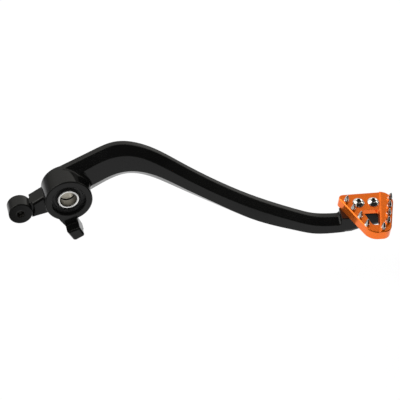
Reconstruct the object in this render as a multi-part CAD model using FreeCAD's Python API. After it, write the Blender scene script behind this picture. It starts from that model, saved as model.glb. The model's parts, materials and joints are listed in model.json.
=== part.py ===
# Rear foot brake lever: forged arm on a sealed needle bearing, with a bolted, studded step plate
import FreeCAD, Part
import math
import os

os.makedirs("parts", exist_ok=True)
V = FreeCAD.Vector

# Boss and pivot sizes, mm
boss_r = 20.0
boss_len = 24.0
sleeve_bore_r = 7.0
sleeve_r = 9.0
sleeve_set_back = 2.5
cup_r = 12.0
cup_len = 10.0
cup_wall = 1.0
roller_count = 18
roller_len = 7.0
seal_r = 14.5
seal_set_back = 4.0

# Arm sizes, mm
arm_w = 12.0
ledge_w = 5.0
bevel_root = 7.0
bevel_tip = 4.2
keel_root = 8.4
keel_tip = 1.0
tip_cut = 2.6
rise_deg = 24.5
root_fillet = 3.0
riser_fillet = 2.5
riser_x = 236.0
key_back = 12.5
tongue_len = 39.5

# Rear arm and push rod eye, mm
eye_x = -40.0
eye_z = -10.5
eye_r = 10.0
eye_front = -8.0
eye_len = 13.8
eye_core_r = 3.4
rear_front = -4.5
rear_back = 10.0
notch_depth = 3.0

# Stop lug, mm
lug_web = 8.0
foot_reach = 9.0

# Step plate sizes, mm
plate_t = 9.0
plate_web = 5.2
rail_rise = 0.8
rail_ramp = 1.4
rim_chamfer = 0.7
plate_ahead = 15.5
plate_lift = 11.7
slope_fore_deg = 5.0
slope_out_deg = 12.0
bolt_r = 3.0
bolt_pitch = 13.0
bolt_grip = 10.0
head_r = 5.25
head_h = 3.3
socket_flat = 4.0
stud_core_r = 1.65
stud_depth = 6.0
stud_h = 7.4
stud_flat = 4.2

# Clearances, mm
press_gap = 0.01
run_gap = 0.02
lip_gap = 0.04
pocket_gap = 0.12
screw_gap = 0.25
seat_gap = 0.3
edge_break = 0.6

front_y = -boss_len / 2
arm_front_y = boss_len / 2 - arm_w
half_sleeve = boss_len / 2 - sleeve_set_back
half_cup = cup_len / 2
key_x = riser_x + key_back
tongue_end_x = riser_x + tongue_len
end_top_z = -0.275 * riser_x
end_chine_z = -0.3263 * riser_x
end_keel_z = end_chine_z - keel_tip
plate_at = V(riser_x + plate_ahead, boss_len / 2 - arm_w / 2, end_top_z + plate_lift)

# Side view of the arm: its hump in boss radii, then its run in lengths from the pivot to the riser
top_hump = [(2.175, 1.91), (3.225, 1.665)]
top_run = [(0.4153, 0.0407), (0.5593, -0.0695), (0.7076, -0.1644), (0.8559, -0.2415)]
chine_hump = [(0.62, 0.0), (1.445, 0.415), (2.05, 0.67), (2.685, 0.73), (3.365, 0.555)]
chine_run = [(0.4034, -0.0292), (0.5487, -0.1352), (0.6936, -0.2309), (0.8436, -0.2979)]


def spline(points, first, last):
    # Smooth curve through points with given end directions
    curve = Part.BSplineCurve()
    curve.interpolate(Points=points, InitialTangent=first, FinalTangent=last)
    return curve


def ring(r_out, r_in, y0, y1):
    # Tube along the pivot axis
    axis = V(0, 1, 0)
    tube = Part.makeCylinder(r_out, y1 - y0, V(0, y0, 0), axis)
    return tube.cut(Part.makeCylinder(r_in, y1 - y0 + 2, V(0, y0 - 1, 0), axis))


def turned(points):
    # Solid turned about the pivot axis from radius and length pairs
    wire = Part.makePolygon([V(r, y, 0) for r, y in points + points[:1]])
    return Part.Face(wire).revolve(V(0, 0, 0), V(0, 1, 0), 360)


def prism(points, y0, y1):
    # Side view polygon drawn out across the lever
    wire = Part.makePolygon([V(x, y0, z) for x, z in points + points[:1]])
    return Part.Face(wire).extrude(V(0, y1 - y0, 0))


def rounded(corners):
    # Closed outline in the XY plane with a radius at each corner
    edges = []
    ends = []
    n = len(corners)
    for i in range(n):
        x, y, r = corners[i]
        c = V(x, y, 0)
        a = (V(corners[i - 1][0], corners[i - 1][1], 0) - c).normalize()
        b = (V(corners[(i + 1) % n][0], corners[(i + 1) % n][1], 0) - c).normalize()
        half = a.getAngle(b) / 2
        reach = r / math.tan(half)
        mid = c + (a + b).normalize() * (r / math.sin(half) - r)
        ends.append((c + a * reach, mid, c + b * reach))
    for i in range(n):
        start, mid, stop = ends[i]
        edges.append(Part.Arc(start, mid, stop).toShape())
        edges.append(Part.LineSegment(stop, ends[(i + 1) % n][0]).toShape())
    return Part.Wire(edges)


def plate_placement():
    # Plate frame: origin under the rear bolt head, x forward, y inboard
    turn = FreeCAD.Rotation(V(1, 0, 0), slope_out_deg)
    pitch = FreeCAD.Rotation(V(0, 1, 0), slope_fore_deg)
    return FreeCAD.Placement(plate_at, pitch.multiply(turn))


def placed(shape):
    # Moves a solid drawn in the plate frame to its place
    shape.Placement = plate_placement().multiply(shape.Placement)
    return shape


def hexagon(flat, z, height):
    # Upright six-sided bar
    r = flat / math.sqrt(3)
    turn = [math.radians(60 * i) for i in range(7)]
    wire = Part.makePolygon([V(r * math.cos(t), r * math.sin(t), z) for t in turn])
    return Part.Face(wire).extrude(V(0, 0, height))


def bolt_points():
    return [V(0.4 + i * bolt_pitch, 1.2, 0) for i in range(2)]


def stud_points():
    # Four along each side and one at the outer corner
    left = [V(-9.8 + 4.2 * i, 3.9 - 9.2 * i, 0) for i in range(4)]
    right = [V(28.4 - 2.4 * i, 3.8 - 8.7 * i, rail_rise) for i in range(4)]
    return left + [V(15.7, -28.7, rail_rise)] + right


def offset(curve, root, tip, first, last):
    # Curve beside another one, whose distance to its right runs from root to tip
    steps = 12
    points = []
    for i in range(steps + 1):
        u = curve.FirstParameter + (curve.LastParameter - curve.FirstParameter) * i / steps
        along = curve.tangent(u)[0]
        points.append(curve.value(u) + V(along.z, 0, -along.x) * (root + (tip - root) * i / steps))
    return spline(points, first, last)


def section(upper, lower, y):
    # Closed side view between two curves
    a, b = upper.value(upper.FirstParameter), upper.value(upper.LastParameter)
    c, d = lower.value(lower.LastParameter), lower.value(lower.FirstParameter)
    wire = Part.Wire([upper.toShape(), Part.makeLine(b, c), lower.toShape(), Part.makeLine(d, a)])
    wire.translate(V(0, y, 0))
    return wire


def arm_blade():
    # Curved bar with a bevel above and below its front face, and a ledge along its back
    rise = V(math.cos(math.radians(rise_deg)), 0, math.sin(math.radians(rise_deg)))
    start = V(-rise.z, 0, rise.x) * (0.95 * boss_r)
    top = [V(x, 0, z) * boss_r for x, z in top_hump] + [V(x, 0, z) * riser_x for x, z in top_run]
    top = spline([start, start + rise * (1.67 * boss_r)] + top + [V(riser_x + 1, 0, end_top_z)],
                 rise, V(1, 0, -0.05))
    chine = [V(x, 0, z) * boss_r for x, z in chine_hump] + [V(x, 0, z) * riser_x for x, z in chine_run]
    chine = spline(chine + [V(riser_x + 3, 0, end_chine_z)], V(1, 0, 0.5), V(1, 0, 0))
    shoulder = offset(top, bevel_root, bevel_tip, rise, V(1, 0, -0.05))
    keel = offset(chine, keel_root, keel_tip, V(1, 0, 0.5), V(1, 0, 0))
    ledge_y = boss_len / 2 - ledge_w
    front = Part.makeLoft([section(shoulder, chine, arm_front_y), section(top, keel, ledge_y)], True, True)
    back = Part.Face(section(top, keel, ledge_y)).extrude(V(0, ledge_w, 0))
    return front.fuse(back).removeSplitter()


def rear_arm():
    # Short rear arm with the push rod eye at its end
    end_x = eye_x + 0.7 * eye_r
    arm = prism([(-0.6 * boss_r, 0.35 * boss_r), (-1.03 * boss_r, 0.06 * boss_r),
                 (end_x, eye_z + 0.43 * eye_r), (end_x, eye_z - 0.77 * eye_r),
                 (eye_x + 1.23 * eye_r, eye_z - 0.65 * eye_r), (-0.6 * boss_r, -0.68 * boss_r)],
                rear_front, rear_back)
    brow = [e for e in arm.Edges if e.BoundBox.YMax < rear_front + 0.01 and e.BoundBox.ZMin > eye_z and
            e.BoundBox.XMax < -boss_r]
    arm = arm.makeFillet(0.22 * eye_r, brow)
    axis = V(0, 1, 0)
    relief = Part.makeCylinder(eye_r + 0.6, eye_len + rear_back, V(eye_x, eye_front + eye_len, eye_z), axis)
    eye = Part.makeCylinder(eye_r, eye_len, V(eye_x, eye_front, eye_z), axis)
    eye = eye.makeChamfer(edge_break, [e for e in eye.Edges if e.Curve.TypeId == "Part::GeomCircle"])
    notch = Part.makeCylinder(eye_r + 2.2, 2 * notch_depth, V(eye_x, rear_front - notch_depth, eye_z), axis)
    return arm.cut(relief).cut(notch).fuse(eye)


def stop_lug():
    # Finger below the boss whose foot turns outboard
    under = -boss_r
    toe = [(-3.4, under - 5.5), (2.6, under - 15.6), (11.6, under - 11)]
    web = prism([(-0.5 * boss_r, 0.75 * under), (-0.38 * boss_r, 0.975 * under)] + toe +
                [(6.6, under - 1.5), (0.3 * boss_r, 0.75 * under)], front_y, front_y + lug_web)
    foot = prism(toe + [(7.3, under - 2)], front_y - foot_reach, front_y + lug_web)
    foot = foot.makeFillet(2.2, [e for e in foot.Edges if e.BoundBox.YLength > foot_reach and
                                 e.BoundBox.ZMax < under - 9])
    foot = foot.makeChamfer(1.2, [e for e in foot.Edges if e.BoundBox.YLength < 0.01 and
                                  e.BoundBox.YMax < front_y])
    return web.fuse(foot)


def tip_block():
    # Raised end of the arm that carries the plate
    high = plate_at.z + plate_t
    low = end_keel_z + 0.15 * tip_cut
    side = prism([(riser_x, low), (riser_x, high), (tongue_end_x, high), (tongue_end_x, low + 5.2),
                  (riser_x + 0.48 * tongue_len, low + 2.7), (riser_x + 0.23 * tongue_len, low)],
                 arm_front_y, boss_len / 2)
    lower = [e for e in side.Edges if e.BoundBox.ZMax < low + 6 and
             e.BoundBox.YMax < arm_front_y + 0.01 and e.BoundBox.XLength > 5]
    side = side.makeChamfer(0.42 * tip_cut, tip_cut, lower)
    corner = [e for e in side.Edges if e.BoundBox.XMin > tongue_end_x - 0.1 and e.BoundBox.ZLength > 5]
    side = side.makeFillet(arm_w * 0.4, corner)
    side = side.cut(placed(Part.makeBox(200, 200, 60, V(-100, -100, -plate_web))))
    above = placed(Part.makeBox(200, 200, 60, V(-100, -100, -plate_t)))
    return side.cut(above.common(Part.makeBox(50, 100, 100, V(key_x - 50, -50, -100))))


def on_boss(edge):
    # True for the edges where the arm springs from the boss
    span = edge.LastParameter - edge.FirstParameter
    pts = [edge.valueAt(edge.FirstParameter + span * i / 4) for i in range(5)]
    round_it = all(abs(math.hypot(p.x, p.z) - boss_r) < 0.05 for p in pts)
    return round_it and all(arm_front_y - 0.1 < p.y < boss_len / 2 - 1 for p in pts) and pts[2].x > 0


def at_riser(edge):
    # True for the edges at the foot of the riser, on the ledge and the bevel
    box = edge.BoundBox
    upright = abs(box.XMin - riser_x) < 0.02 and box.XLength < 0.04
    high_enough = end_top_z - bevel_tip - 1 < box.ZMin and box.ZMax < end_top_z + 3
    return upright and high_enough and box.YLength > 4


def lever_arm():
    axis = V(0, 1, 0)
    boss = Part.makeCylinder(boss_r, boss_len, V(0, front_y, 0), axis)
    boss = boss.makeChamfer(edge_break, [e for e in boss.Edges if e.Curve.TypeId == "Part::GeomCircle"])
    body = boss.fuse([arm_blade(), tip_block()]).removeSplitter()
    body = body.makeFillet(root_fillet, [e for e in body.Edges if on_boss(e)])
    body = body.makeFillet(riser_fillet, [e for e in body.Edges if at_riser(e)])
    body = body.fuse([rear_arm(), stop_lug()])
    body = body.cut(Part.makeCylinder(cup_r + press_gap, boss_len + 2, V(0, front_y - 1, 0), axis))
    depth = boss_len / 2 - half_cup
    for y in (front_y - 1, half_cup):
        body = body.cut(Part.makeCylinder(seal_r + press_gap, depth + 1, V(0, y, 0), axis))
    core = Part.makeCylinder(eye_core_r, eye_len + 2, V(eye_x, eye_front - 1, eye_z), axis)
    body = body.cut(core)
    for p in bolt_points():
        hole = Part.makeCylinder(bolt_r + press_gap, 40, p - V(0, 0, 30))
        body = body.cut(placed(hole))
    return body.removeSplitter()


def seat_channel():
    # Pocket under the plate that keeps it square on the raised key of the arm end
    run = Part.makeBox(tongue_end_x - key_x + 2 * seat_gap, arm_w + 2 * seat_gap, 60,
                       V(key_x - seat_gap, arm_front_y - seat_gap, -100))
    return run.cut(placed(Part.makeBox(200, 200, 60, V(-100, -100, -plate_web))))


def slab(rim, top):
    # Plate blank with its top edge bevelled
    body = Part.Face(rounded(rim)).extrude(V(0, 0, -plate_t - top))
    body.translate(V(0, 0, top))
    return body.makeChamfer(rim_chamfer, [e for e in body.Edges if e.BoundBox.ZMin > top - 0.01])


def step_plate():
    # Studded plate with a window, a raised rail along its front and a bevelled rim
    rim = [(-17.8, 11.4, 4), (34.2, 13.2, 10.5), (22.4, -32.6, 8), (4.8, -32.8, 12)]
    plate = slab(rim, 0)
    inner = [(-60, 60), (24, 60), (22.5, 14), (14.9, -27), (10.7, -40), (-60, -40)]
    low = Part.makePolygon([V(x - rail_ramp, y, 0) for x, y in inner + inner[:1]])
    high = Part.makePolygon([V(x, y, rail_rise) for x, y in inner + inner[:1]])
    rail = slab(rim, rail_rise).cut(Part.makeLoft([low, high], True, True))
    rail = rail.cut(Part.Face(low).extrude(V(0, 0, -2 * plate_t)))
    plate = plate.fuse(rail).removeSplitter()
    window = [(1.6, -7, 1.5), (17.2, -7, 1.5), (14.8, -24, 2), (7.7, -24, 3)]
    plate = plate.cut(Part.Face(rounded(window)).extrude(V(0, 0, -20)))
    for p in bolt_points():
        plate = plate.cut(Part.makeCylinder(bolt_r + screw_gap, 30, p - V(0, 0, 20)))
    for p in stud_points():
        plate = plate.cut(Part.makeCylinder(stud_core_r + press_gap, 30, p - V(0, 0, stud_depth)))
    return placed(plate).cut(seat_channel())


def plate_bolts():
    # Domed screws with a hexagon socket
    out = []
    dome = (head_r ** 2 + (head_h - 0.6) ** 2) / (2 * (head_h - 0.6))
    for p in bolt_points():
        head = Part.makeCylinder(head_r, head_h)
        ball = Part.makeSphere(dome, V(0, 0, head_h - dome))
        head = head.common(ball)
        head = head.cut(hexagon(socket_flat, head_h - 2, 4))
        shank = Part.makeCylinder(bolt_r, plate_web + bolt_grip, V(0, 0, -plate_web - bolt_grip))
        screw = head.fuse(shank)
        screw.translate(p)
        out.append(screw)
    return Part.makeCompound(out)


def grip_stud(p):
    # Screw-in stud: core in the plate, hexagon collar and bullet tip
    collar = hexagon(stud_flat, 0, 1.8)
    base_r = stud_flat * 0.45
    tip_r = base_r * 0.35
    profile = Part.Wire([Part.makeLine(V(0, 0, 0), V(base_r, 0, 0)),
                         Part.makeLine(V(base_r, 0, 0), V(base_r, 0, 3.2)),
                         Part.makeLine(V(base_r, 0, 3.2), V(tip_r, 0, stud_h)),
                         Part.makeLine(V(tip_r, 0, stud_h), V(0, 0, stud_h)),
                         Part.makeLine(V(0, 0, stud_h), V(0, 0, 0))])
    tip = Part.Face(profile).revolve(V(0, 0, 0), V(0, 0, 1), 360)
    core = Part.makeCylinder(stud_core_r, stud_depth - 0.5, V(0, 0, 0.5 - stud_depth))
    stud = collar.fuse([tip, core]).removeSplitter()
    stud.translate(p)
    return stud


def half_sleeve_solid(sign):
    # Plain half sleeve that meets its twin at the middle of the boss
    c = 0.5
    pts = [(sleeve_bore_r, 0), (sleeve_r, 0), (sleeve_r, half_sleeve - c), (sleeve_r - c, half_sleeve),
           (sleeve_bore_r + c, half_sleeve), (sleeve_bore_r, half_sleeve - c)]
    return turned([(r, sign * y) for r, y in pts])


def needle_cup():
    # Drawn cup with turned-in lips
    inner = cup_r - cup_wall
    lip = cup_wall * 0.8
    body = ring(cup_r, inner, -half_cup, half_cup)
    for y in (-half_cup, half_cup - lip):
        body = body.fuse(ring(inner + 0.2, sleeve_r + 0.5, y, y + lip))
    return body.removeSplitter()


def roller_places():
    pitch = (sleeve_r + cup_r - cup_wall) / 2
    step = 2 * math.pi / roller_count
    return [V(pitch * math.cos(step * i), 0, pitch * math.sin(step * i)) for i in range(roller_count)]


def needle_rollers():
    r = (cup_r - cup_wall - sleeve_r) / 2 - run_gap
    axis = V(0, 1, 0)
    return Part.makeCompound([Part.makeCylinder(r, roller_len, p - V(0, roller_len / 2, 0), axis)
                              for p in roller_places()])


def needle_cage():
    # Thin ring with one pocket a roller
    r = (cup_r - cup_wall - sleeve_r) / 2 - run_gap + pocket_gap
    half = roller_len / 2 + 0.55
    mid = (sleeve_r + cup_r - cup_wall) / 2
    body = ring(mid + 0.45, mid - 0.45, -half, half)
    span = roller_len + 2 * pocket_gap
    cuts = [Part.makeCylinder(r, span, p - V(0, span / 2, 0), V(0, 1, 0)) for p in roller_places()]
    return body.cut(cuts)


def dust_seal(sign):
    # Rubber shaft seal: case wall, web and a lip round the sleeve
    y0 = half_cup
    y1 = boss_len / 2 - seal_set_back
    lip = sleeve_r + lip_gap
    foot = 0.72 * cup_r + 0.28 * seal_r
    deep = y1 - y0
    face = y1 - 0.27 * deep
    web = y1 - 0.73 * deep
    pts = [(seal_r, y0), (seal_r, y1), (seal_r - 1.6, y1), (seal_r - 2.2, face), (lip + 1.6, face),
           (lip, y1 - 0.07 * deep), (lip, y1 - 0.23 * deep), (lip + 1, web), (foot, web), (foot, y0)]
    return turned([(r, sign * y) for r, y in pts])


nodes = {
    "lever_arm": lever_arm(),
    "step_plate": step_plate(),
    "plate_bolts": placed(plate_bolts()),
    "front_pivot_sleeve": half_sleeve_solid(-1),
    "rear_pivot_sleeve": half_sleeve_solid(1),
    "needle_cup": needle_cup(),
    "needle_rollers": needle_rollers(),
    "needle_cage": needle_cage(),
    "front_dust_seal": dust_seal(-1),
    "rear_dust_seal": dust_seal(1),
}
for i, p in enumerate(stud_points()):
    nodes["grip_stud_%d" % (i + 1)] = placed(grip_stud(p))
for name, shape in nodes.items():
    shape.exportStep("parts/%s.step" % name)
    box = shape.BoundBox
    print(name, shape.isValid(), len(shape.Solids), round(shape.Volume, 1),
          [round(v, 1) for v in (box.XMin, box.YMin, box.ZMin, box.XMax, box.YMax, box.ZMax)])
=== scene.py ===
# %% [markdown]
# # A foot brake lever with a studded step plate
# The real thing is a black anodised forging that turns on a sealed needle bearing. An orange plate with
# nine steel studs is screwed to its front end. The solids come ready made, so this lesson starts by loading
# them. Everything below has to stay inside the room that they take.

# %% load the solids
import json
import math

import bmesh
import bpy
from mathutils import Matrix, Vector


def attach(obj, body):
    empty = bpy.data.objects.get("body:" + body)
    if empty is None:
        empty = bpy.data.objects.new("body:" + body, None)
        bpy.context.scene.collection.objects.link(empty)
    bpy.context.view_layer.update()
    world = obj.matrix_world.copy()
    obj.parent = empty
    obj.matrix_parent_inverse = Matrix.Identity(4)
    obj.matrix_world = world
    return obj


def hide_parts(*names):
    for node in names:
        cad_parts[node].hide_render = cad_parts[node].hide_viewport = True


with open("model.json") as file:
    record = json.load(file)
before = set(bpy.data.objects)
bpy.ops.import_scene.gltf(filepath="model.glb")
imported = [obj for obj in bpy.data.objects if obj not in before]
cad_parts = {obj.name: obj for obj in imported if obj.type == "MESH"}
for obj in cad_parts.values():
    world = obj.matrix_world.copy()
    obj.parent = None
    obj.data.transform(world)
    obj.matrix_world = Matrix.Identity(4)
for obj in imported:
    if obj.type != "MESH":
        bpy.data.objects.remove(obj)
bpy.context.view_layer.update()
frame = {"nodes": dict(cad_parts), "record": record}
MM = 0.001

# %% [markdown]
# ## The camera
# The photograph looks down on the lever from its outer side with a long lens, so that lines which are
# parallel on the lever stay nearly parallel in the picture. A camera can be aimed by hand, but a point to
# look at, two angles and a distance are easier to check. The lens then follows from the width of the view.

# %% camera
scene = bpy.context.scene
aim = Vector((110.85, -9.5, -16.6)) * MM
side_angle, height_angle = math.radians(-10.6), math.radians(37.6)
distance, view_width, sensor_mm = 2.5, 334.7 * MM, 36
back = Vector((math.sin(side_angle) * math.cos(height_angle), -math.cos(side_angle) * math.cos(height_angle),
               math.sin(height_angle)))
camera = bpy.data.objects.new("camera", bpy.data.cameras.new("camera"))
scene.collection.objects.link(camera)
camera.data.sensor_width = sensor_mm
camera.data.lens = sensor_mm * distance / view_width
camera.location = aim + back * distance
roll = Matrix.Rotation(math.radians(-0.2), 3, "Z")
camera.rotation_euler = ((-back).to_track_quat("-Z", "Y").to_matrix() @ roll).to_euler()
scene.camera = camera
print("lens in mm:", round(camera.data.lens, 1))

# %% [markdown]
# ## Writing finishes as sums
# A finish is a small network of nodes. Drawn by hand it is easy to read, but in a script the links hide what
# is meant. Here one class wraps a socket, so that a plus or a times sign adds the Math node for it. A second
# class owns a network and makes every other node: first its settings, then the values or links of its
# sockets. Finishes use the Object coordinates, which stay with the piece.


# %% shader helpers
class Amount:
    """A number that varies over a surface."""

    def __init__(self, net, socket):
        self.net = net
        self.socket = socket

    def sum(self, operation, first, second):
        node = self.net.node("ShaderNodeMath", {"operation": operation}, {0: first, 1: second})
        return Amount(self.net, node.outputs[0])

    def __add__(self, other):
        return self.sum("ADD", self, other)

    def __sub__(self, other):
        return self.sum("SUBTRACT", self, other)

    def __rsub__(self, other):
        return self.sum("SUBTRACT", other, self)

    def __mul__(self, other):
        return self.sum("MULTIPLY", self, other)

    __radd__ = __add__
    __rmul__ = __mul__

    def most(self, other):
        return self.sum("MAXIMUM", self, other)

    def within(self, low, high):
        node = self.net.node("ShaderNodeMapRange", {}, {0: self, 1: low, 2: high})
        return Amount(self.net, node.outputs[0])


class Network:
    """The nodes of one finish, or of the room's light."""

    def __init__(self, tree):
        self.tree = tree
        tree.nodes.clear()

    def node(self, kind, settings={}, sockets={}):
        made = self.tree.nodes.new(kind)
        for name, value in settings.items():
            setattr(made, name, value)
        for name, value in sockets.items():
            socket = value.socket if isinstance(value, Amount) else value
            if isinstance(socket, bpy.types.NodeSocket):
                self.tree.links.new(socket, made.inputs[name])
            else:
                made.inputs[name].default_value = socket
        return made

    def amount(self, kind, output, settings={}, sockets={}):
        return Amount(self, self.node(kind, settings, sockets).outputs[output])

    def blend(self, share, first, second):
        """Mixes two colours: inputs 6 and 7 and output 2 are the colour sockets of the Mix node."""
        mix = self.node("ShaderNodeMix", {"data_type": "RGBA"}, {0: share, 6: first, 7: second})
        return mix.outputs[2]

    def dot(self, first, second):
        """How nearly two directions agree: 1 if they are the same, 0 at a right angle."""
        return self.amount("ShaderNodeVectorMath", "Value", {"operation": "DOT_PRODUCT"},
                           {0: first, 1: second})


def finish_net(name):
    material = bpy.data.materials.new(name)
    material.use_nodes = True
    net = Network(material.node_tree)
    net.material = material
    net.place = net.node("ShaderNodeTexCoord").outputs["Object"]
    return net


def grain(net, size, detail=3.0, stretch=None):
    place = net.place
    if stretch:
        place = net.node("ShaderNodeMapping", {}, {"Vector": place, "Scale": stretch}).outputs[0]
    return net.amount("ShaderNodeTexNoise", "Fac", {}, {"Vector": place, "Scale": 1 / size, "Detail": detail})


def close_net(net, sockets):
    skin = net.node("ShaderNodeBsdfPrincipled", {}, sockets)
    net.node("ShaderNodeOutputMaterial", {}, {0: skin.outputs[0]})
    print("finish:", net.material.name, "with", len(net.tree.nodes), "nodes")
    return net.material


# %% [markdown]
# ## Soft edges and paler edges
# No real edge is a perfect crease: tumbling and handling round it by a fraction of a millimetre, and the
# rounding catches a thin line of light. The Bevel node turns the shading near an edge without any more faces.
# Where that turned direction differs from the flat one there is an edge, so the same node also says where the
# colour is made paler, as a painted highlight along the edge and, on the orange plate, also as wear.


# %% edge helpers
def soft_normal(net, radius):
    return net.node("ShaderNodeBevel", {"samples": 6}, {"Radius": radius}).outputs[0]


def edge_share(net, radius):
    flat = net.node("ShaderNodeNewGeometry").outputs["Normal"]
    return 1 - net.dot(flat, soft_normal(net, radius))


BUMP_STRENGTH = 0.6


def bumped(net, height, depth, normal):
    bump = net.node("ShaderNodeBump", {}, {"Strength": BUMP_STRENGTH, "Distance": depth, "Height": height,
                                           "Normal": normal})
    return bump.outputs[0]


# %% [markdown]
# ## Black anodised forging
# The arm is blasted, then given a porous skin in an acid bath and dyed black. The skin is very dark, with a
# gloss that varies a little from place to place, and its edges are painted greyer: a painted highlight for
# the light that rounded edges catch. A flat black would look like plastic, so two sizes of noise drive the
# gloss, and the fine one also gives the blasted grain.

# %% black finish
net = finish_net("black_anodised")
cloud = grain(net, 14 * MM)
fine = grain(net, 0.5 * MM, 2)
# Painted highlight: the edges are blended towards grey, for the light that rounded edges catch.
edge_wear_and_highlight = edge_share(net, 0.4 * MM).within(0.008, 0.1)
tone = net.blend(cloud, (0.0030, 0.0030, 0.0031, 1), (0.0050, 0.0050, 0.0047, 1))
tone = net.blend(edge_wear_and_highlight * 0.15, tone, (0.06, 0.058, 0.052, 1))
black_finish = close_net(net, {
    "Base Color": tone, "Roughness": 0.09 + 0.07 * cloud + 0.03 * fine, "IOR": 1.31,
    "Normal": bumped(net, fine, 0.01 * MM, soft_normal(net, 1.1 * MM))})

# %% [markdown]
# ## Orange anodised plate
# The plate is milled from bar and dyed orange. The dye lies in a clear skin over bright metal, so to the eye
# it is two parts metal and one part paint, under a thin coat. Long thin noise stands for the cutter marks,
# and edges are a shade paler, partly as wear and partly as a painted highlight along the edge.

# %% orange finish
net = finish_net("orange_anodised")
cloud = grain(net, 9 * MM)
cuts = grain(net, 0.6 * MM, 2, (1.0, 0.12, 1.0))
# Paler edges: partly wear, partly a painted highlight along the edge.
edge_wear_and_highlight = edge_share(net, 0.8 * MM).within(0.02, 0.25)
tone = net.blend(cloud, (0.94, 0.163, 0.006, 1), (1.0, 0.188, 0.009, 1))
tone = net.blend(edge_wear_and_highlight * 0.4, tone, (0.95, 0.40, 0.12, 1))
orange_finish = close_net(net, {
    "Base Color": tone, "Metallic": 0.68, "Roughness": 0.11 + 0.06 * cuts + 0.05 * cloud,
    "Coat Weight": 0.1, "Coat Roughness": 0.06,
    "Normal": bumped(net, cuts, 0.003 * MM, soft_normal(net, 0.5 * MM))})

# %% [markdown]
# ## Steel and rubber
# Screws and studs are bright plated steel, and the studs' tips a darker steel, a painted shade for the dark
# reflections that the tips show. The sleeves are ground steel with fine rings round the pivot axis, their
# bores duller, the front bore darker still as painted shade, and the seals are black rubber with a dusty
# bloom. The screw sockets and the eye's thread get a near-black painted shade. All of these come from two
# short networks, one for metal and one for dull things, that are given other colours.


# %% steel and rubber finishes
def steel(name, dark, light, rough, spread, depth, ring_size=None):
    net = finish_net(name)
    cloud = grain(net, 3 * MM)
    fine = grain(net, ring_size, 2, (0.15, 1.0, 0.15)) if ring_size else grain(net, 0.25 * MM, 2)
    return close_net(net, {
        "Base Color": net.blend(cloud, dark, light), "Metallic": 1.0,
        "Roughness": rough + spread * cloud + spread * fine,
        "Normal": bumped(net, fine, depth, soft_normal(net, 0.2 * MM))})


def dull(name, dark, light, rough):
    net = finish_net(name)
    cloud = grain(net, 4 * MM)
    fine = grain(net, 0.3 * MM, 2)
    return close_net(net, {
        "Base Color": net.blend(cloud, dark, light), "Roughness": rough + 0.15 * fine,
        "Normal": bumped(net, fine, 0.02 * MM, soft_normal(net, 0.2 * MM))})


plating = {"rough": 0.02, "spread": 0.03, "depth": 0.0006 * MM}
rings = {"spread": 0.09, "ring_size": 0.3 * MM}
plated_steel = steel("bright_steel", (0.74, 0.73, 0.70, 1), (0.86, 0.85, 0.82, 1), **plating)
# Painted shade: a darker steel for the studs' tips, for the dark reflections that they show.
tip_steel_painted_dark = steel("tip_steel_painted_dark", (0.50, 0.49, 0.47, 1), (0.62, 0.61, 0.59, 1), **plating)
ground_steel = steel("sleeve_steel", (0.91, 0.90, 0.88, 1), (0.98, 0.97, 0.95, 1),
                     rough=0.22, depth=0.001 * MM, **rings)
reamed_steel = steel("reamed_steel", (0.34, 0.32, 0.28, 1), (0.44, 0.42, 0.37, 1),
                     rough=0.30, depth=0.004 * MM, **rings)
# Painted shade: a darker copy of the bore steel, for the front sleeve's bore.
painted_shade_bore_steel = steel("painted_shade_bore_steel", (0.14, 0.13, 0.11, 1), (0.22, 0.205, 0.175, 1),
                   rough=0.30, depth=0.004 * MM, **rings)
bearing_steel = steel("bearing_steel", (0.50, 0.50, 0.50, 1), (0.62, 0.62, 0.61, 1),
                      rough=0.2, depth=0.004 * MM, **rings)
seal_rubber = dull("seal_rubber", (0.008, 0.008, 0.008, 1), (0.02, 0.02, 0.02, 1), 0.4)
# Painted shade: a near-black dull finish for the insides of the screw sockets and the eye's thread.
painted_hole_shade = dull("painted_hole_shade", (0.006, 0.005, 0.004, 1), (0.016, 0.014, 0.011, 1), 0.45)
cage_plastic = dull("cage_plastic", (0.03, 0.03, 0.03, 1), (0.05, 0.05, 0.05, 1), 0.5)

# %% [markdown]
# ## Giving the solids their finishes
# The record says which slot each solid belongs to. Each could be dressed by name, but one table from slot to
# finish dresses them all, and a new solid in a known slot would need no new line.

# %% dress the solids
finishes = {"black_anodised": black_finish, "orange_anodised": orange_finish, "bright_steel": plated_steel,
            "sleeve_steel": ground_steel, "bearing_steel": bearing_steel, "cage_plastic": cage_plastic,
            "seal_rubber": seal_rubber}
for part in frame["record"]["subparts"]:
    solid = frame["nodes"][part["node"]]
    solid.data.materials.clear()
    solid.data.materials.append(finishes[part["material_slot"]])

# %% [markdown]
# ## Turned pieces
# Studs, screws and sleeves come off a lathe, so the shortest way to them is a half outline of a few points
# that is spun round an axis. A hexagon can be turned too: spun as a round, its ring of points is then drawn
# in or out to the six flats. Each piece is made upright at the origin and then carried to its place, so that
# the object itself stays at the origin, as the solids do.


# %% turning helpers
TURN_STEPS = 48
SHARP_ANGLE = math.radians(32)


def turned(outline, axis=(0, 0, 1)):
    bm = bmesh.new()
    points = [bm.verts.new(p) for p in outline]
    edges = [bm.edges.new(pair) for pair in zip(points, points[1:])]
    bmesh.ops.spin(bm, geom=points + edges, cent=(0, 0, 0), axis=axis, angle=2 * math.pi, steps=TURN_STEPS,
                   use_merge=True)
    bmesh.ops.remove_doubles(bm, verts=bm.verts[:], dist=1e-7)
    bmesh.ops.recalc_face_normals(bm, faces=bm.faces[:])
    return bm


def upright(pairs):
    return [Vector((r, 0, z)) * MM for r, z in pairs]


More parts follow.
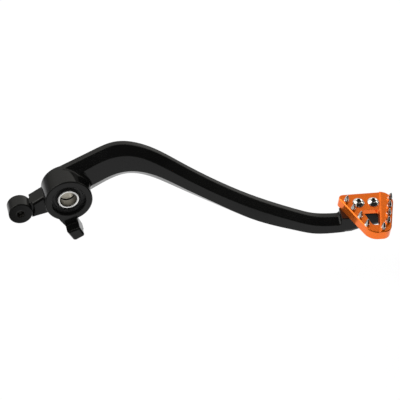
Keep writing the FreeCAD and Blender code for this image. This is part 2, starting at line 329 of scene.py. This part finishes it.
def draw_to_hexagon(bm, flat, low, high, inner, outer):
    """Moves the points of a round collar or socket, found by height and radius, to six flats."""
    for v in bm.verts:
        r = math.hypot(v.co.x, v.co.y)
        if low <= v.co.z / MM <= high and inner <= r / MM <= outer:
            turn = math.atan2(v.co.y, v.co.x) % (math.pi / 3) - math.pi / 6
            v.co.xy *= flat / 2 * MM / math.cos(turn) / r


def new_object(name, bm, finishes):
    mesh = bpy.data.meshes.new(name)
    bm.to_mesh(mesh)
    bm.free()
    for finish in finishes:
        mesh.materials.append(finish)
    mesh.shade_smooth()
    mesh.set_sharp_from_angle(angle=SHARP_ANGLE)
    made = bpy.data.objects.new(name, mesh)
    scene.collection.objects.link(made)
    return made


def fit(name, bm, finishes, body, nodes=()):
    piece = new_object(name, bm, finishes)
    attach(piece, body)
    if nodes:
        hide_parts(*nodes)
    print("piece:", name, "faces:", len(piece.data.polygons))


# %% [markdown]
# ## Grip studs
# Each stud screws into the plate: a hexagon for the spanner with its corners turned off, a short neck, a
# shoulder and a bullet tip that bites into the boot. The solid has a plain cone there, so a turned stud with
# a curved tip stands in for each, and the faces of the tip get the darker steel, a painted shade for the dark
# reflections that the tips show. The plate slopes forward and outward, and the studs stand square on it.

# %% studs
plate_place = (Matrix.Translation(Vector((251.5, 6.0, -53.2)) * MM) @ Matrix.Rotation(math.radians(5), 4, "Y")
               @ Matrix.Rotation(math.radians(12), 4, "X"))
left_studs = [(-9.8 + 4.2 * i, 3.9 - 9.2 * i, 0) for i in range(4)]
right_studs = [(28.4 - 2.4 * i, 3.8 - 8.7 * i, 0.8) for i in range(4)]
stud_outline = [(0, -5.5), (1.35, -5.5), (1.65, -5.1), (1.65, 0.02), (2.3, 0.02), (2.3, 1.35), (2.08, 1.78),
                (1.80, 1.80), (1.70, 1.95), (1.72, 2.12), (1.92, 2.25), (1.98, 2.6), (1.92, 3.0), (1.78, 3.5),
                (1.60, 4.1), (1.40, 4.8), (1.18, 5.5), (0.95, 6.2), (0.72, 6.8), (0.54, 7.15), (0.34, 7.32),
                (0.15, 7.39), (0, 7.4)]
corner_stud = [(15.7, -28.7, 0.8)]
tip_start = 2.2 * MM
for number, place in enumerate(left_studs + corner_stud + right_studs, 1):
    bm = turned(upright(stud_outline))
    draw_to_hexagon(bm, flat=4.2, low=0, high=1.4, inner=2.2, outer=2.4)
    # Painted shade: the tip faces take the darker steel, for the dark reflections that the tips show.
    for face in bm.faces:
        face.material_index = int(face.calc_center_median().z > tip_start)
    bm.transform(plate_place @ Matrix.Translation(Vector(place) * MM))
    fit("turned_stud_%d" % number, bm, [plated_steel, tip_steel_painted_dark], "lever",
        ["grip_stud_%d" % number])

# %% [markdown]
# ## Plate screws
# Two dome-headed screws with a hexagon socket hold the plate. The dome is an arc of one ball, so its height
# at each radius is worked out and the whole head is spun at once, socket and all. The point of the drill that
# sank the socket shows as a shallow cone at its floor. The socket's faces get a near-black finish of their
# own, a painted shade for the inside of the hole.

# %% screws
ball, head_height = 6.45, 3.3
dome = [(r, head_height - ball + math.sqrt(ball * ball - r * r))
        for r in (2.55, 2.9, 3.3, 3.7, 4.1, 4.5, 4.85, 5.1)]
screw_outline = [(0, 0.95), (1.9, 1.3), (2.15, 1.3), (2.15, 2.55)] + dome + [
    (5.22, 0.62), (5.25, 0.5), (5.25, 0.25), (5.1, 0.02), (3.0, 0.02), (3.0, -15.0), (2.8, -15.2), (0, -15.2)]
bm = bmesh.new()
for i in range(2):
    one = turned(upright(screw_outline))
    draw_to_hexagon(one, flat=4.0, low=1.25, high=2.6, inner=2.0, outer=2.3)
    for face in one.faces:
        middle = face.calc_center_median() / MM
        # Painted shade: the faces inside the socket take the near-black finish.
        in_socket = 0 < middle.z < 2.5 and math.hypot(middle.x, middle.y) < 2.4
        face.material_index = int(in_socket)
    one.transform(plate_place @ Matrix.Translation(Vector((0.4 + 13 * i, 1.2, 0)) * MM))
    carried = bpy.data.meshes.new("screw")
    one.to_mesh(carried)
    one.free()
    bm.from_mesh(carried)
    bpy.data.meshes.remove(carried)
fit("dome_screws", bm, [plated_steel, painted_hole_shade], "lever", ["plate_bolts"])

# %% [markdown]
# ## Pivot sleeves
# Two plain sleeves meet at the middle of the boss. Their end faces are ground bright, while the bore is only
# reamed and stays darker, and the outer one's bore is darker still, a painted shade: the rear bore gets light
# through the hole from behind. Each bore has a finish of its own. A bevel full of old grease where the
# sleeves meet leaves the dark ring half way down the bore.

# %% sleeves
half = [(8.2, 0.02), (8.7, 0.02), (9.0, 0.3), (9.0, 9.0), (8.85, 9.38), (8.5, 9.5), (7.6, 9.5),
        (7.3, 9.42), (7.05, 9.15), (7.0, 8.9), (7.0, 1.0), (7.06, 0.85), (8.2, 0.02)]
bore_radius, bevel_radius, bevel_depth = 7.03 * MM, 8.3 * MM, 0.95 * MM
# Painted shade: the front sleeve's bore is a darker copy of the rear one's steel.
for name, sign, bore in (("front", -1, painted_shade_bore_steel), ("rear", 1, reamed_steel)):
    bm = turned([Vector((r, sign * y, 0)) * MM for r, y in half], (0, 1, 0))
    for face in bm.faces:
        middle = face.calc_center_median()
        from_axis = math.hypot(middle.x, middle.z)
        if abs(middle.y) < bevel_depth and from_axis < bevel_radius:
            face.material_index = 2
        elif from_axis < bore_radius:
            face.material_index = 1
    fit(name + "_sleeve", bm, [ground_steel, bore, seal_rubber], "pivot_sleeves",
        [name + "_pivot_sleeve"])

# %% [markdown]
# ## Thread in the push rod eye
# The eye is drilled and tapped. A thread is a small ridge that is spun while it climbs, and the spin operator
# does both at once when it is given a step along the axis. The ridge's outline is closed, with its foot just
# inside the wall of the hole, and the two ends are filled, so that the thread is a solid like the others.

# %% eye thread
pitch, turns, steps = 1.25, 10, 32
eye, thread_start = Vector((-40, 0, -10.5)), -7.6
bm = bmesh.new()
ridge = [bm.verts.new((eye + Vector((r, thread_start + y, 0))) * MM)
         for r, y in ((3.45, 0), (3.12, 0.45), (3.12, 0.6), (3.45, 1.05))]
edges = [bm.edges.new(pair) for pair in zip(ridge, ridge[1:] + ridge[:1])]
bmesh.ops.spin(bm, geom=ridge + edges, cent=eye * MM, axis=(0, 1, 0),
               dvec=(0, pitch / steps * MM, 0), angle=2 * math.pi * turns, steps=steps * turns)
bmesh.ops.holes_fill(bm, edges=[edge for edge in bm.edges if edge.is_boundary], sides=4)
bmesh.ops.recalc_face_normals(bm, faces=bm.faces[:])
# The thread takes the near-black finish, a painted shade for the inside of the hole.
fit("eye_thread", bm, [painted_hole_shade], "lever")

# %% [markdown]
# ## The room
# The room is pale all round. A glossy black arm under an even pale room would look grey, so, as in a real
# studio, reflections see a dark room. In it hang a large panel behind, a weak one at each side, two small
# ones high on the left for the screw heads, and a long strip overhead for the edges. Each panel is a soft
# spot round one direction, so a table of directions and strengths is all that it takes.

# %% room
scene.view_settings.view_transform = "Standard"


def ray_kinds(net):
    """Says if a ray is one that shows the room itself, and if it is a reflection."""
    path = net.node("ShaderNodeLightPath")
    glossy = Amount(net, path.outputs["Is Glossy Ray"])
    seen = Amount(net, path.outputs["Is Camera Ray"]).most(glossy)
    return seen.most(Amount(net, path.outputs["Is Transmission Ray"])), glossy


world = bpy.data.worlds.new("room")
scene.world = world
world.use_nodes = True
net = Network(world.node_tree)
seen, glossy = ray_kinds(net)
direction = net.node("ShaderNodeTexCoord").outputs["Generated"]


def soft_light(towards, low, high):
    facing = net.dot(direction, Vector(towards).normalized())
    return net.amount("ShaderNodeMapRange", 0, {"interpolation_type": "SMOOTHSTEP"},
                      {0: facing, 1: low, 2: high})


ambient, dark_room, strip_strength = 0.45, 0.02, 2.5
across = net.dot(direction, Vector((0, 0.99, -0.13)))
strip = (1 - (across * across).within(0.004, 0.02)) * soft_light((0, 0, 1), 0.2, 0.5)
hung = (("back", 0.9, (0.1, 0.9, 0.4), 0.5, 1.0), ("left", 0.4, (-1, 0, 0.1), 0.66, 0.95),
        ("right", 0.2, (0.9, 0.4, 0.2), 0.72, 0.95), ("high_left", 1.5, (-0.7, 0.4, 0.6), 0.9, 0.97),
        ("front_left", 1.2, (-0.6, 0.05, 0.8), 0.88, 0.97))
panels = dark_room + strip_strength * strip
for name, strength, towards, low, high in hung:
    panels = panels + strength * soft_light(towards, low, high)
level = ambient + (1 - ambient) * seen - glossy + glossy * panels
tint = net.blend(glossy, (1, 1, 1, 1), (1, 0.985, 0.93, 1))
room = net.node("ShaderNodeBackground", {}, {"Color": tint, "Strength": level})
net.node("ShaderNodeOutputWorld", {}, {0: room.outputs[0]})
print("room panels:", ", ".join(panel[0] for panel in hung))

# %% [markdown]
# ## The floor
# A pale floor lies well below the lever, so that the shadow on it is faint. Most of what shows of it is a
# glow, to come out as pale as the room. Parts of it are dark to reflections, as if black card lay there, and
# give the studs and the steep faces their dark halves. Real cards could be laid out, but the camera would
# see them too.

# %% floor
net = finish_net("floor")
seen, glossy = ray_kinds(net)
split = net.node("ShaderNodeSeparateXYZ", {}, {0: net.place})
x, y = Amount(net, split.outputs[0]), Amount(net, split.outputs[1])
near = 0 - y
# Where each card lies, in metres from the pivot axis, with soft borders.
ahead = x.within(0.17, 0.22) * near.within(0.13, 0.17)
behind = (0 - x).within(-0.005, 0.03) * near.within(0.08, 0.13)
beside = x.within(0.33, 0.38) * near.within(-0.02, 0.02)
far = (0.78 * x + near).within(0.345, 0.365)
distant = y.within(0.3, 0.6)
card = glossy * ahead.most(beside).most(far).most(0.85 * behind).most(0.75 * distant)
glow_level, glow_share = 1.04, 0.85
matt = net.node("ShaderNodeBsdfDiffuse", {}, {"Color": (0.9, 0.9, 0.9, 1)})
glow = net.node("ShaderNodeEmission", {}, {"Color": (1, 1, 1, 1),
                                           "Strength": glow_level - (glow_level - dark_room) * card})
both = net.node("ShaderNodeMixShader", {}, {0: glow_share * seen + (1 - glow_share) * card,
                                            1: matt.outputs[0], 2: glow.outputs[0]})
net.node("ShaderNodeOutputMaterial", {}, {0: both.outputs[0]})

floor_place, floor_half = Matrix.Translation((0.1, 0, -0.16)), 4.0
bm = bmesh.new()
bmesh.ops.create_grid(bm, x_segments=1, y_segments=1, size=floor_half, matrix=floor_place)
floor = new_object("floor", bm, [net.material])
print("floor at z in mm:", round(floor_place.translation.z / MM))

# %% [markdown]
# ## The lamps
# Two large lamps, one from the left of the camera and one from behind, light what isn't glossy: the dye of
# the plate, the rubber and the bores. Large lamps give soft shadows. Reflections don't show them, since the
# panels are there for that, and their level is one where a colour renders about as written.


# %% lamps
def lamp(name, place, size, power):
    made = bpy.data.objects.new(name, bpy.data.lights.new(name, "AREA"))
    made.data.size = size
    made.data.energy = power
    made.location = place
    lever_middle = Vector((0.11, 0, -0.02))
    made.rotation_euler = (lever_middle - Vector(place)).to_track_quat("-Z", "Y").to_euler()
    made.visible_glossy = False
    scene.collection.objects.link(made)
    print("lamp:", name, "with", power, "W")


lamp("key", (-0.5, -0.5, 1.1), 0.7, 9)
lamp("back", (0.0, 1.0, 0.8), 0.9, 8)
